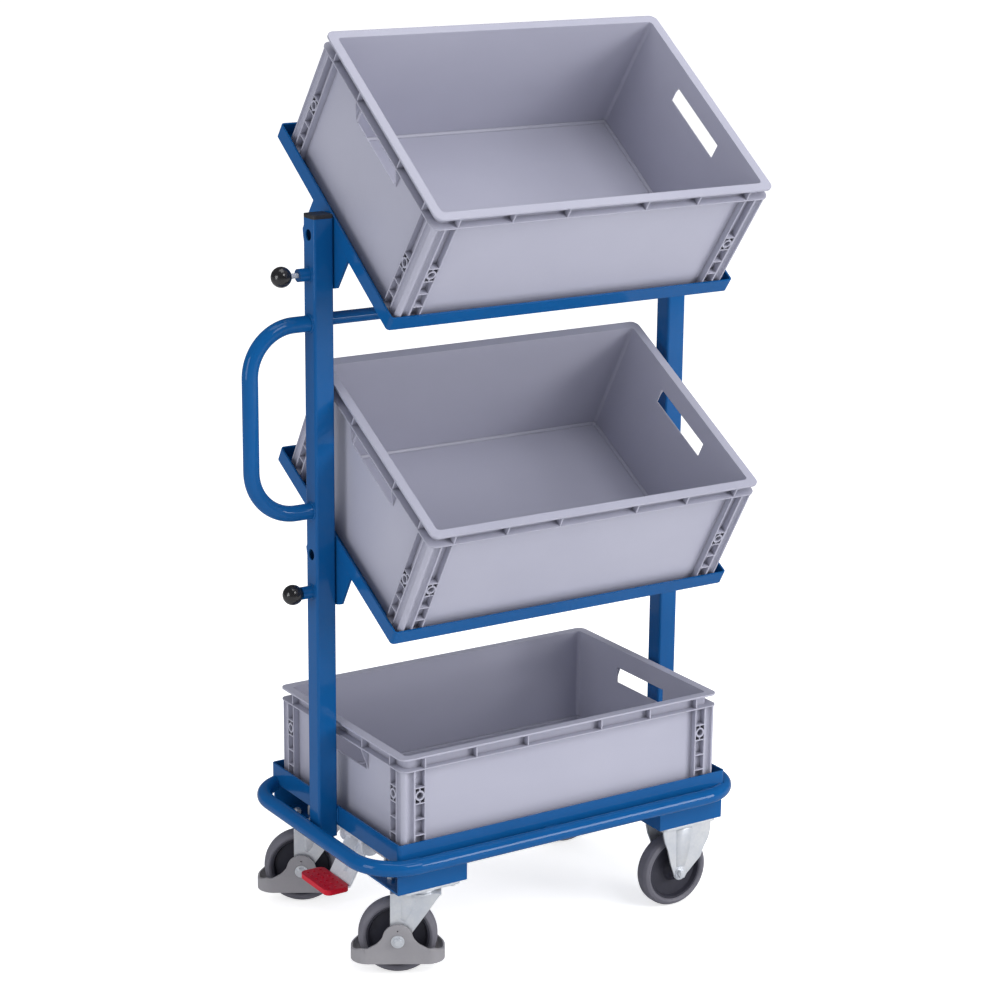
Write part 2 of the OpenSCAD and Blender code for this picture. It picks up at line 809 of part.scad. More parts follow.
module axle_nut(half) {
    color(zinc) for (sy = [-1, 1]) translate([0, sy * (half + nut_h / 2), 0]) rotate([90, 0, 0]) difference() {
        union() {
            translate([0, 0, -nut_h / 2]) cylinder(d = nut_across, h = nut_h, $fn = 6);
            translate([0, 0, sy * nut_h / 2 - (sy > 0 ? flange_t : 0)]) cylinder(r = flange_r, h = flange_t);
        }
        translate([0, 0, -nut_h]) cylinder(r = axle_r + clear, h = 2 * nut_h);
    }
}

module hub() {
    color(hub_dark) rotate([90, 0, 0]) rotate_extrude() {
        polygon([[axle_r + clear, -hub_half], [13, -hub_half], [15, 7 - hub_half], [20, -5], [hub_r - 6, -5],
            [hub_r - 3, -12], [hub_r, -12], [hub_r, 12], [hub_r - 3, 12], [hub_r - 6, 5], [20, 5],
            [15, hub_half - 7], [13, hub_half], [axle_r + clear, hub_half]]);
    }
}

module tyre() {
    half = tread_w / 2;
    r = wheel_d / 2;
    color(tyre_grey) rotate([90, 0, 0]) rotate_extrude() {
        polygon([[hub_r, -12], [hub_r + 2, 1 - half], [r - 8, -half], [r - 3, 2.5 - half], [r - 0.6, 7 - half],
            [r, -4], [r, 4], [r - 0.6, half - 7], [r - 3, half - 2.5], [r - 8, half], [hub_r + 2, half - 1],
            [hub_r, 12]]);
    }
}

module left_wheel(y) {
    at_swivel(y) translate([trail, 0, axle_z]) children();
}

module right_wheel(y) {
    translate([fixed_x, y, axle_z]) children();
}

module axle_front_left() {
    left_wheel(swivel_front_y) axle(guard_w + 8);
}

module axle_rear_left() {
    left_wheel(rear_y) axle(guard_w + 8);
}

module axle_front_right() {
    right_wheel(fixed_front_y) axle(fork_w / 2 + 8);
}

module axle_rear_right() {
    right_wheel(rear_y) axle(fork_w / 2 + 8);
}

module axle_nuts_front_left() {
    left_wheel(swivel_front_y) axle_nut(guard_w);
}

module axle_nuts_rear_left() {
    left_wheel(rear_y) axle_nut(guard_w);
}

module axle_nuts_front_right() {
    right_wheel(fixed_front_y) axle_nut(fork_w / 2);
}

module axle_nuts_rear_right() {
    right_wheel(rear_y) axle_nut(fork_w / 2);
}

module hub_front_left() {
    left_wheel(swivel_front_y) hub();
}

module hub_rear_left() {
    left_wheel(rear_y) hub();
}

module hub_front_right() {
    right_wheel(fixed_front_y) hub();
}

module hub_rear_right() {
    right_wheel(rear_y) hub();
}

module tyre_front_left() {
    left_wheel(swivel_front_y) tyre();
}

module tyre_rear_left() {
    left_wheel(rear_y) tyre();
}

module tyre_front_right() {
    right_wheel(fixed_front_y) tyre();
}

module tyre_rear_right() {
    right_wheel(rear_y) tyre();
}

// brake: a shaft under the deck's left end, turned by a lever with a pedal pad
module brake_bearings() {
    color(zinc) for (y = bearing_spots) translate([-shaft_x, y, web_z + web_t]) difference() {
        union() {
            slab(2 * bearing_r, bearing_t, shaft_z - web_z - web_t);
            translate([0, 0, shaft_z - web_z - web_t]) rod_y(bearing_r, -bearing_t / 2, bearing_t / 2);
        }
        translate([0, 0, shaft_z - web_z - web_t]) rod_y(shaft_r + clear, -bearing_t, bearing_t);
        translate([0, 0, -bearing_r]) slab(3 * bearing_r, 2 * bearing_t, bearing_r);
    }
}

module brake_shaft() {
    color(zinc) translate([-shaft_x, 0, shaft_z])
        rod_y(shaft_r, bearing_spots[0] - shaft_over, bearing_spots[1] + shaft_over);
}

// a bent strap with a pressed rib, on a sleeve with two round cheeks
module brake_lever() {
    foot = pad_x + pad_l / 2 + 4;
    tip = pad_x - pad_l / 2 + 6;
    mid = pad_z + pad_h / 2;
    half = strap_t / 2;
    color(zinc) difference() {
        union() {
            translate([-shaft_x, 0, shaft_z]) {
                rod_y(sleeve_r, -lever_w / 2, lever_w / 2);
                for (s = [-1, 1]) translate([0, s * (lever_w + cheek_t) / 2, 0])
                    rod_y(cheek_r, -cheek_t / 2, cheek_t / 2);
            }
            translate([0, lever_w / 2, 0]) rotate([90, 0, 0]) linear_extrude(lever_w)
                polygon([[tip, mid - half], [foot, mid - half], [-shaft_x - 4, shaft_z - 9], [-shaft_x - 8, shaft_z - 5],
                    [foot - 2.4, mid + half], [tip, mid + half]]);
            translate([0, rib_w / 2, 0]) rotate([90, 0, 0]) linear_extrude(rib_w)
                polygon([[foot + 6, mid + 16], [-shaft_x - 4, shaft_z - 5], [-shaft_x - 9, shaft_z + 3],
                    [foot - 1, mid + 19]]);
        }
        translate([-shaft_x, 0, shaft_z]) rod_y(shaft_r + clear, -lever_w, lever_w);
    }
}

module pedal_pad() {
    color(red) difference() {
        translate([pad_x, pad_y, pad_z]) round_slab(pad_l, pad_w, pad_h, pad_r);
        translate([pad_x - pad_l / 2 + 6, -lever_w / 2, pad_z + pad_h / 2 - strap_t / 2]) cube([pad_l, lever_w, strap_t]);
    }
}

translate([mid_x, mid_y, 0]) {
    deck_frame();
    bumper_loop();
    bracket_front_left();
    bracket_rear_left();
    bracket_front_right();
    bracket_rear_right();
    mast_left();
    mast_right();
    mast_caps();
    handle();
    cross_tube();
    pivot_bolts();
    pivot_nuts();
    pivot_washers();
    plunger_bosses();
    top_tray_frame();
    top_tray_gussets();
    middle_tray_frame();
    middle_tray_gussets();
    top_plunger_spindle();
    top_plunger_ball();
    middle_plunger_spindle();
    middle_plunger_ball();
    top_bin();
    middle_bin();
    low_bin();
    caster_plates();
    caster_bolts();
    caster_nuts();
    swivel_pins();
    fork_front_left();
    fork_rear_left();
    fork_front_right();
    fork_rear_right();
    guard_front_left();
    guard_rear_left();
    axle_front_left();
    axle_rear_left();
    axle_front_right();
    axle_rear_right();
    axle_nuts_front_left();
    axle_nuts_rear_left();
    axle_nuts_front_right();
    axle_nuts_rear_right();
    hub_front_left();
    hub_rear_left();
    hub_front_right();
    hub_rear_right();
    tyre_front_left();
    tyre_rear_left();
    tyre_front_right();
    tyre_rear_right();
    brake_bearings();
    brake_shaft();
    brake_lever();
    pedal_pad();
}
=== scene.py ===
import json
import math
import random

import bmesh
import bpy
from mathutils import Matrix, Vector


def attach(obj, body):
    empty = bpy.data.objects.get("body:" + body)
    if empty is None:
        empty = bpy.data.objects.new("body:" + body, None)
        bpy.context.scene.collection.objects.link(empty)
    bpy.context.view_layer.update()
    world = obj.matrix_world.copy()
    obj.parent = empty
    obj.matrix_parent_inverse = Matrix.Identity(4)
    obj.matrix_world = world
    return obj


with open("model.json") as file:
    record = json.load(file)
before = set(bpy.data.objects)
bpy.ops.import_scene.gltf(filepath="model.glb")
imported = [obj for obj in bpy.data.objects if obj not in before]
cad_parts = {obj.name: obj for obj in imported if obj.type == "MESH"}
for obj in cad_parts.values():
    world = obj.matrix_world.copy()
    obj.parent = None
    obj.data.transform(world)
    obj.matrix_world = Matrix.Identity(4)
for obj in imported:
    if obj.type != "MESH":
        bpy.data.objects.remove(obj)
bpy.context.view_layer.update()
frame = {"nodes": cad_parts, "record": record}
nodes = frame["nodes"]
random.seed(7)


def joint_at(name):
    """The place of a joint, which is a point on its axis."""
    joint = next(joint for joint in frame["record"]["behaviour"]["joints"] if joint["name"] == name)
    return Vector(joint["pos_m"])


def floor_below(point):
    return Vector((point.x, point.y, 0.0))


# both trays' pivots lie midway between the masts
MAST_MID = floor_below(joint_at("top_tray_tilt"))
STRAIGHT = Matrix.Identity(3)

# camera as solved from the photograph, in metres and degrees
LENS_MM = 94.778
SENSOR_MM = 36.0
CAMERA_AT = MAST_MID + Vector((-2.201626, -3.447851, 1.828904))
CAMERA_AZIMUTH = -32.5492
CAMERA_ELEVATION = 15.5570
CAMERA_ROLL = 0.5759


def placer(origin, turn=STRAIGHT, shift=(0.0, 0.0, 0.0)):
    """Gives a function that takes a point in a piece's own millimetres to the part's frame."""
    def place(u, v, w):
        return origin + turn @ (Vector((u, v, w)) + Vector(shift)) / 1000
    return place


def turned(axis, degrees):
    return Matrix.Rotation(math.radians(degrees), 3, axis)


def circle(steps):
    """Cosine and sine of equal steps round a circle."""
    angles = [2 * math.pi * step / steps for step in range(steps)]
    return [(math.cos(angle), math.sin(angle)) for angle in angles]


at_masts = placer(MAST_MID)


# material building
SURFACE_INPUTS = {
    "metal": "Metallic",
    "specular": "Specular IOR Level",
    "ior": "IOR",
    "coat": "Coat Weight",
    "coat_rough": "Coat Roughness",
}

# sockets of a Mix node: it has one pair for numbers and another for colours
MIX_FACTOR = 0
NUMBER_PAIR = (2, 3)
NUMBER_RESULT = 0
COLOUR_PAIR = (6, 7)
COLOUR_RESULT = 2

# rays for each point of the edge rounding and of the painted shade in recesses
SHADER_SAMPLES = 6


class Shader:
    """A node tree with one Principled shader and short ways to add textures."""

    def __init__(self, name, **values):
        self.material = bpy.data.materials.new(name)
        self.material.use_nodes = True
        self.tree = self.material.node_tree
        self.surface = self.tree.nodes["Principled BSDF"]
        self.coords = self.tree.nodes.new("ShaderNodeTexCoord")
        for key, value in values.items():
            self.surface.inputs[SURFACE_INPUTS[key]].default_value = value

    def link(self, output, socket):
        self.tree.links.new(output, socket)

    def texture(self, kind, scale, stretch=(1, 1, 1)):
        """A texture in the object's own coordinates, which may be stretched."""
        mapping = self.tree.nodes.new("ShaderNodeMapping")
        mapping.inputs["Scale"].default_value = stretch
        self.link(self.coords.outputs["Object"], mapping.inputs["Vector"])
        node = self.tree.nodes.new(kind)
        node.inputs["Scale"].default_value = scale
        self.link(mapping.outputs["Vector"], node.inputs["Vector"])
        return node

    def noise(self, scale, detail, rough=0.55, stretch=(1, 1, 1), distortion=0.0):
        """Soft spots, finer with a larger scale and richer with more detail."""
        node = self.texture("ShaderNodeTexNoise", scale, stretch)
        node.inputs["Detail"].default_value = detail
        node.inputs["Roughness"].default_value = rough
        node.inputs["Distortion"].default_value = distortion
        return node.outputs["Fac"]

    def cells(self, scale):
        return self.texture("ShaderNodeTexVoronoi", scale).outputs["Distance"]

    def crevice(self, distance):
        """Near 0 in narrow corners and 1 on open faces."""
        node = self.tree.nodes.new("ShaderNodeAmbientOcclusion")
        node.samples = SHADER_SAMPLES
        node.inputs["Distance"].default_value = distance
        return node.outputs["AO"]

    def spread(self, value, low, high, start=0.3, end=0.7):
        """Takes the values from start to end to those from low to high."""
        node = self.tree.nodes.new("ShaderNodeMapRange")
        node.inputs["From Min"].default_value = start
        node.inputs["From Max"].default_value = end
        node.inputs["To Min"].default_value = low
        node.inputs["To Max"].default_value = high
        self.link(value, node.inputs["Value"])
        return node.outputs["Result"]

    def blend(self, factor, first, second):
        """Mixes two colours, each given as a tuple or as a socket."""
        node = self.tree.nodes.new("ShaderNodeMix")
        node.data_type = "RGBA"
        self.link(factor, node.inputs[MIX_FACTOR])
        for value, index in zip((first, second), COLOUR_PAIR):
            if isinstance(value, tuple):
                node.inputs[index].default_value = (*value, 1.0)
            else:
                self.link(value, node.inputs[index])
        return node.outputs[COLOUR_RESULT]

    def patches(self, texture, dark, pale):
        """Two tones in soft patches."""
        return self.blend(self.spread(texture, 0.0, 1.0), dark, pale)

    def veil(self, tone, texture, most, start, end, colour):
        """Lays a thin colour over the tone; its share grows from 0 at start to the most at end."""
        return self.blend(self.spread(texture, 0.0, most, start, end), tone, colour)

    def soft_edges(self, radius):
        node = self.tree.nodes.new("ShaderNodeBevel")
        node.samples = SHADER_SAMPLES
        node.inputs["Radius"].default_value = radius
        return node.outputs["Normal"]

    def bump(self, height, distance, strength, normal=None):
        node = self.tree.nodes.new("ShaderNodeBump")
        node.inputs["Strength"].default_value = strength
        node.inputs["Distance"].default_value = distance
        self.link(height, node.inputs["Height"])
        if normal is not None:
            self.link(normal, node.inputs["Normal"])
        return node.outputs["Normal"]

    def colour(self, socket):
        self.link(socket, self.surface.inputs["Base Color"])

    def roughness(self, texture, low, high):
        self.link(self.spread(texture, low, high), self.surface.inputs["Roughness"])

    def normal(self, socket):
        self.link(socket, self.surface.inputs["Normal"])


def painted_blue():
    m = Shader("blue_powder_paint", specular=0.04, coat=0.40, coat_rough=0.03)
    tone = m.patches(m.noise(5.0, 3.0), dark=(0.0045, 0.078, 0.250), pale=(0.0055, 0.088, 0.278))
    dust = m.noise(38.0, 6.0)
    m.colour(m.veil(tone, dust, most=0.03, start=0.52, end=0.8, colour=(0.11, 0.17, 0.28)))
    m.roughness(m.noise(26.0, 5.0), low=0.10, high=0.17)
    peel = m.bump(m.noise(700.0, 2.0), distance=0.00022, strength=0.35, normal=m.soft_edges(0.0012))
    m.normal(m.bump(m.noise(90.0, 2.0), distance=0.0006, strength=0.12, normal=peel))
    return m.material


def bin_plastic():
    m = Shader("bin_plastic", specular=0.42, ior=1.49)
    tone = m.patches(m.noise(4.0, 3.0), dark=(0.374, 0.376, 0.464), pale=(0.400, 0.402, 0.490))
    flow = m.noise(9.0, 5.0, rough=0.6, stretch=(0.35, 1.0, 3.0), distortion=0.4)
    tone = m.veil(tone, flow, most=0.10, start=0.5, end=0.8, colour=(0.45, 0.452, 0.54))
    scuffs = m.noise(55.0, 7.0, rough=0.65, stretch=(0.25, 1.0, 1.6))
    tone = m.veil(tone, scuffs, most=0.12, start=0.62, end=0.8, colour=(0.52, 0.52, 0.58))
    # painted shade: an ambient occlusion mask darkens the colour in recesses, where shade falls
    unshaded_share = m.spread(m.crevice(distance=0.010), low=0.0, high=1.0, start=0.25, end=0.70)
    m.colour(m.blend(unshaded_share, (0.18, 0.18, 0.225), tone))
    m.roughness(m.noise(18.0, 6.0), low=0.34, high=0.48)
    grain = m.bump(m.noise(1300.0, 2.0), distance=0.00010, strength=0.30, normal=m.soft_edges(0.0016))
    m.normal(m.bump(m.noise(7.0, 2.0), distance=0.0025, strength=0.06, normal=grain))
    return m.material


def zinc_plate(name, metal, dark, pale):
    m = Shader(name, metal=metal, specular=0.5)
    tone = m.patches(m.noise(22.0, 5.0, rough=0.6), dark, pale)
    tone = m.veil(tone, m.cells(210.0), most=0.16, start=0.1, end=0.7, colour=(0.50, 0.56, 0.66))
    grime = m.noise(60.0, 6.0)
    m.colour(m.veil(tone, grime, most=0.25, start=0.62, end=0.85, colour=(0.36, 0.35, 0.33)))
    m.roughness(m.noise(75.0, 6.0), low=0.30, high=0.48)
    rolled = m.noise(420.0, 3.0, rough=0.6, stretch=(1.0, 1.0, 0.15))
    m.normal(m.bump(rolled, distance=0.00016, strength=0.45, normal=m.soft_edges(0.0008)))
    return m.material


def guard_plastic():
    m = Shader("guard_plastic", specular=0.38)
    tone = m.patches(m.noise(14.0, 5.0), dark=(0.248, 0.242, 0.262), pale=(0.300, 0.292, 0.312))
    fibres = m.noise(150.0, 6.0, rough=0.7, stretch=(0.3, 1.0, 1.0))
    m.colour(m.veil(tone, fibres, most=0.18, start=0.55, end=0.8, colour=(0.36, 0.35, 0.35)))
    m.roughness(m.noise(40.0, 5.0), low=0.42, high=0.58)
    m.normal(m.bump(m.noise(650.0, 3.0), distance=0.00022, strength=0.5, normal=m.soft_edges(0.0012)))
    return m.material


def tyre_rubber():
    m = Shader("tyre_rubber", specular=0.35)
    tone = m.patches(m.noise(16.0, 5.0), dark=(0.122, 0.120, 0.148), pale=(0.152, 0.149, 0.178))
    dust = m.noise(70.0, 6.0)
    m.colour(m.veil(tone, dust, most=0.35, start=0.58, end=0.82, colour=(0.24, 0.235, 0.25)))
    m.roughness(m.noise(50.0, 5.0), low=0.46, high=0.64)
    m.normal(m.bump(m.noise(520.0, 3.0), distance=0.00025, strength=0.5, normal=m.soft_edges(0.0016)))
    return m.material


def hub_plastic():
    m = Shader("hub_plastic", specular=0.35)
    m.colour(m.patches(m.noise(20.0, 5.0), dark=(0.020, 0.020, 0.032), pale=(0.034, 0.034, 0.050)))
    m.roughness(m.noise(60.0, 5.0), low=0.42, high=0.6)
    m.normal(m.bump(m.noise(600.0, 3.0), distance=0.0002, strength=0.4, normal=m.soft_edges(0.001)))
    return m.material


def black_gloss():
    m = Shader("black_gloss_plastic", specular=0.5, coat=0.4, coat_rough=0.05)
    m.colour(m.patches(m.noise(40.0, 4.0), dark=(0.010, 0.010, 0.012), pale=(0.018, 0.017, 0.019)))
    m.roughness(m.noise(90.0, 5.0), low=0.12, high=0.22)
    m.normal(m.bump(m.noise(300.0, 2.0), distance=0.0001, strength=0.15))
    return m.material


def cap_plastic():
    m = Shader("cap_plastic", specular=0.4)
    m.colour(m.patches(m.noise(40.0, 4.0), dark=(0.016, 0.016, 0.019), pale=(0.028, 0.028, 0.032)))
    m.roughness(m.noise(70.0, 5.0), low=0.4, high=0.55)
    m.normal(m.bump(m.noise(900.0, 2.0), distance=0.00015, strength=0.4, normal=m.soft_edges(0.0015)))
    return m.material


def pedal_plastic():
    m = Shader("pedal_plastic", specular=0.3)
    m.colour(m.patches(m.noise(30.0, 5.0), dark=(0.50, 0.003, 0.018), pale=(0.60, 0.005, 0.025)))
    m.roughness(m.noise(80.0, 5.0), low=0.26, high=0.40)
    m.normal(m.bump(m.noise(600.0, 3.0), distance=0.0002, strength=0.4, normal=m.soft_edges(0.002)))
    return m.material


# one look for each material slot
LOOKS = {
    "blue_paint": painted_blue(),
    "bin_plastic": bin_plastic(),
    "zinc": zinc_plate("zinc_plate", metal=0.62, dark=(0.66, 0.69, 0.75), pale=(0.80, 0.81, 0.83)),
    "guard_plastic": guard_plastic(),
    "tread": tyre_rubber(),
    "hub_plastic": hub_plastic(),
    "black_plastic": black_gloss(),
    "pedal_plastic": pedal_plastic(),
}

# the masts' caps are duller than the ball knobs, and the brake lever is brighter than the forks: its paler,
# less metallic zinc is a painted reflection of the white surroundings
OWN_LOOKS = {
    "mast_caps": cap_plastic(),
    "brake_lever": zinc_plate("zinc_with_painted_reflection", metal=0.25, dark=(0.82, 0.85, 0.92), pale=(0.92, 0.94, 0.98)),
}


def dress(obj, material):
    obj.data.materials.clear()
    obj.data.materials.append(material)


slot_of = {subpart["node"]: subpart["material_slot"] for subpart in frame["record"]["subparts"]}
for name, obj in nodes.items():
    dress(obj, OWN_LOOKS.get(name, LOOKS[slot_of[name]]))


# pieces added for the looks
def new_piece(name, body, slot, mesh_maker, *details):
    """Builds a mesh in the part's frame and lets it ride on its body."""
    mesh = bpy.data.meshes.new(name)
    bm = bmesh.new()
    mesh_maker(bm, *details)
    bmesh.ops.recalc_face_normals(bm, faces=bm.faces)
    bm.to_mesh(mesh)
    bm.free()
    for face in mesh.polygons:
        face.use_smooth = True
    obj = bpy.data.objects.new(name, mesh)
    bpy.context.scene.collection.objects.link(obj)
    dress(obj, LOOKS[slot])
    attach(obj, body)


def join_rings(bm, first, second):
    """Four-sided faces between two rings of as many points."""
    for k in range(len(first)):
        after = (k + 1) % len(first)
        bm.faces.new((first[k], first[after], second[after], second[k]))


# weld beads, in millimetres
BEAD_SIDES = 8
RING_STEPS = 96
LINE_STEP = 1.1
FEWEST_LINE_STEPS = 6
LINE_END_SHARE = 0.45
LINE_END_GROWTH = 3.0
RIPPLE_CHANCE = 0.12
ALONG_NO_WELD = Vector((0.31, 0.17, 0.93))


def ripple(step, mean, wave, pace):
    """The share of its thickness that a bead has at a step, which varies a little by chance."""
    return mean + wave * math.sin(step * pace) + RIPPLE_CHANCE * random.random()


def tube_along(bm, path, radii, closed):
    """A tube round a path of points, with a radius in millimetres for each of them."""
    count = len(path)
    rings = []
    for i, point in enumerate(path):
        before = path[i - 1] if closed or i > 0 else point
        after = path[(i + 1) % count] if closed or i < count - 1 else point
        along = (after - before).normalized()
        side = along.cross(ALONG_NO_WELD).normalized()
        up = side.cross(along)
        radius = radii[i] / 1000
        rings.append([bm.verts.new(point + (side * c + up * s) * radius) for c, s in circle(BEAD_SIDES)])
    for first, second in zip(rings, rings[1:]):
        join_rings(bm, first, second)
    if closed:
        join_rings(bm, rings[-1], rings[0])
    else:
        bm.faces.new(rings[0])
        bm.faces.new(list(reversed(rings[-1])))


def weld_ring(name, height, radius, thick):
    """A rippled weld bead round the foot of a tube that stands off the left mast's outer face."""
    centre = at_masts(-MAST_OUT, 0, height)
    along = Vector((1, 0, 0))
    side = along.orthogonal().normalized()
    up = along.cross(side)
    path = [centre + (side * c + up * s) * radius / 1000 for c, s in circle(RING_STEPS)]
    radii = [thick * ripple(i, mean=0.85, wave=0.18, pace=1.7) for i in range(RING_STEPS)]
    new_piece(name, "chassis", "blue_paint", tube_along, path, radii, True)


def weld_line(name, start, end, thick):
    """A rippled weld bead along an edge, thinner at both ends."""
    start = at_masts(*start)
    end = at_masts(*end)
    steps = max(FEWEST_LINE_STEPS, int((end - start).length * 1000 / LINE_STEP))
    path = [start.lerp(end, i / (steps - 1)) for i in range(steps)]
    radii = []
    for i in range(steps):
        from_end = min(i, steps - 1 - i)
        fade = min(1.0, LINE_END_SHARE + LINE_END_GROWTH * from_end / steps)
        radii.append(thick * fade * ripple(i, mean=0.86, wave=0.16, pace=1.9))
    new_piece(name, "chassis", "blue_paint", tube_along, path, radii, False)


# the part's own sizes, in millimetres
MAST_OUT = 346.4
MAST_HALF = 17.0
HANDLE_HEIGHTS = (("upper", 1016.0), ("lower", 721.5))
HANDLE_RADIUS = 12.5
HANDLE_BEAD_RADIUS = HANDLE_RADIUS + 0.6
BOSS_BELOW_PIVOT = 60.0
BOSS_BEAD_RADIUS = 11.6
DECK_HALF = 312.4
DECK_TOP = 232.0

for label, height in HANDLE_HEIGHTS:
    weld_ring(f"weld_handle_{label}", height, HANDLE_BEAD_RADIUS, thick=2.2)
for label in ("top", "middle"):
    pivot_height = joint_at(f"{label}_tray_tilt").z * 1000
    weld_ring(f"weld_boss_{label}", pivot_height - BOSS_BELOW_PIVOT, BOSS_BEAD_RADIUS, thick=1.4)

# short welds in the corner between the deck's front leg and the bumper tube
BUMPER_WELD_Y = -212.2
BUMPER_WELD_Z = 205.4
for label, start_x, end_x in (("left", -308, -274), ("middle", -48, -18), ("right", 262, 298)):
    weld_line(f"weld_bumper_{label}", (start_x, BUMPER_WELD_Y, BUMPER_WELD_Z),
              (end_x, BUMPER_WELD_Y, BUMPER_WELD_Z), thick=3.6)

# welds up both edges of the masts' feet on the deck's ends, and across on top of the deck
FOOT_WELD_X = DECK_HALF + 0.8
FOOT_WELD_Y = MAST_HALF + 1.0
FOOT_WELD_LOW = DECK_TOP - 29.0
FOOT_WELD_HIGH = DECK_TOP - 3.0
TOP_WELD_Y = MAST_HALF - 2.0
TOP_WELD_Z = DECK_TOP + 0.6
for side, x in (("left", -FOOT_WELD_X), ("right", FOOT_WELD_X)):
    for edge, y in (("front", -FOOT_WELD_Y), ("back", FOOT_WELD_Y)):
        weld_line(f"weld_mast_{side}_{edge}", (x, y, FOOT_WELD_LOW), (x, y, FOOT_WELD_HIGH), thick=2.2)
    weld_line(f"weld_mast_{side}_top", (x, -TOP_WELD_Y, TOP_WELD_Z), (x, TOP_WELD_Y, TOP_WELD_Z), thick=1.8)


# pressed bands on the fork legs, in a caster's own millimetres from the floor below its pin or axle
SWIVEL_HEADING = 149.4
FORK_FACE = 26.0
BAND_SLOPE = 1.6
BAND_SINK = 0.2
SWIVEL_OUTLINE = [(28, 96), (28, 138), (6, 138), (6, 128), (14, 104), (22, 93)]
SWIVEL_LIFT = 0.5
FIXED_OUTLINE = [(-8, 74), (-10, 141), (22, 141), (18, 100), (9, 74)]
FIXED_LIFT = 0.8


def raised_band(bm, place, outline, face, lift):
    """A low plateau with sloping edges on a flat face; outline is (u, z) pairs, face its v."""
    middle = sum((Vector(corner) for corner in outline), Vector((0, 0))) / len(outline)
    sign = 1 if face > 0 else -1
    low, high = [], []
    for u, z in outline:
        inward = (middle - Vector((u, z))).normalized() * BAND_SLOPE
        low.append(bm.verts.new(place(u, face - BAND_SINK * sign, z)))
        high.append(bm.verts.new(place(u + inward.x, face + lift * sign, z + inward.y)))
    join_rings(bm, low, high)
    bm.faces.new(high)
    bm.faces.new(list(reversed(low)))


for label in ("front", "rear"):
    place = placer(floor_below(joint_at(f"{label}_caster_swivel")), turned("Z", SWIVEL_HEADING))
    for side, face in (("near", FORK_FACE), ("far", -FORK_FACE)):
        new_piece(f"fork_band_{label}_{side}", f"swivel_{label}", "zinc",
                  raised_band, place, SWIVEL_OUTLINE, face, SWIVEL_LIFT)

for label in ("front", "rear"):
    place = placer(floor_below(joint_at(f"{label}_right_wheel_roll")))
    for side, face in (("near", -FORK_FACE), ("far", FORK_FACE)):
        new_piece(f"fixed_band_{label}_{side}", "chassis", "zinc",
                  raised_band, place, FIXED_OUTLINE, face, FIXED_LIFT)


# a small fillet where each bin's floor meets its walls, in millimetres; the middle of a bin's underside
# is given from its tray's pivot, and the low bin's from the floor point midway between the masts
BIN_ON_TRAY = (-4.0, -8.8, 9.0)
BIN_ON_DECK = (-4.0, -6.0, 202.5)
TRAY_TILTS = {"top": 36.0, "middle": 30.0}
BIN_FLOOR = 6.0
INNER_HALF = Vector((285.0, 185.0))
INNER_CORNER = 6.0
FILLET = 4.0
FILLET_SINK = 0.3
CORNER_STEPS = 5
ARC_STEPS = 7


def floor_fillet(bm, place):
    """A quarter-round strip along the four inner edges of a bin's floor."""
    rings = []
    for quarter, signs in enumerate(((1, 1), (-1, 1), (-1, -1), (1, -1))):
        middle = Vector(signs) * (INNER_HALF - Vector((INNER_CORNER, INNER_CORNER)))
        for step in range(CORNER_STEPS):
            angle = math.radians(90 * quarter + 90 * step / (CORNER_STEPS - 1))
            out = Vector((math.cos(angle), math.sin(angle)))
            edge = middle + out * INNER_CORNER
            ring = [bm.verts.new(place(*(edge + out * FILLET_SINK), BIN_FLOOR - FILLET_SINK))]
            for k in range(ARC_STEPS):
                rise = math.radians(90 * k / (ARC_STEPS - 1))
                inward = FILLET * (1 - math.cos(rise))
                height = FILLET * (1 - math.sin(rise))
                ring.append(bm.verts.new(place(*(edge - out * inward), BIN_FLOOR + height)))
            rings.append(ring)
    for first, second in zip(rings, rings[1:] + rings[:1]):
        join_rings(bm, first, second)


def in_tray(label):
    return placer(joint_at(f"{label}_tray_tilt"), turned("X", TRAY_TILTS[label]), BIN_ON_TRAY)


for label, body, place in (("top", "upper_bin", in_tray("top")),
                           ("middle", "centre_bin", in_tray("middle")),
                           ("low", "lower_bin", placer(MAST_MID, STRAIGHT, BIN_ON_DECK))):
    new_piece(f"floor_fillet_{label}", body, "bin_plastic", floor_fillet, place)


# grips on the pedal, in millimetres
GRIP_START = (-336.0, -29.0, 100.9)
GRIP_GAPS = (11.5, 14.2)
GRIP_COLUMNS = 3
GRIP_ROWS = 6
GRIP_RADIUS = 2.6
GRIP_HEIGHT = 1.3
GRIP_RINGS = 4
GRIP_SIDES = 14


def dome(bm, x, y, z):
    """One low round grip with its foot's middle at the given point."""
    rings = []
    for j in range(GRIP_RINGS):
        rise = math.radians(90 * j / GRIP_RINGS)
        radius = GRIP_RADIUS * math.cos(rise)
        height = GRIP_HEIGHT * math.sin(rise)
        rings.append([bm.verts.new(at_masts(x + radius * c, y + radius * s, z + height))
                      for c, s in circle(GRIP_SIDES)])
    tip = bm.verts.new(at_masts(x, y, z + GRIP_HEIGHT))
    for low, high in zip(rings, rings[1:]):
        join_rings(bm, low, high)
    for k in range(GRIP_SIDES):
        bm.faces.new((rings[-1][k], rings[-1][(k + 1) % GRIP_SIDES], tip))
    bm.faces.new(list(reversed(rings[0])))


def pedal_domes(bm):
    start_x, start_y, z = GRIP_START
    gap_x, gap_y = GRIP_GAPS
    for row in range(GRIP_ROWS):
        for column in range(GRIP_COLUMNS):
            dome(bm, start_x + gap_x * column, start_y + gap_y * row, z)


new_piece("pedal_grips", "brake", "pedal_plastic", pedal_domes)


# floor and sky
FLOOR_WIDTH = 90
FLOOR_DROP = 0.0005
SKY_COLOUR = (0.97, 0.98, 1.0, 1.0)


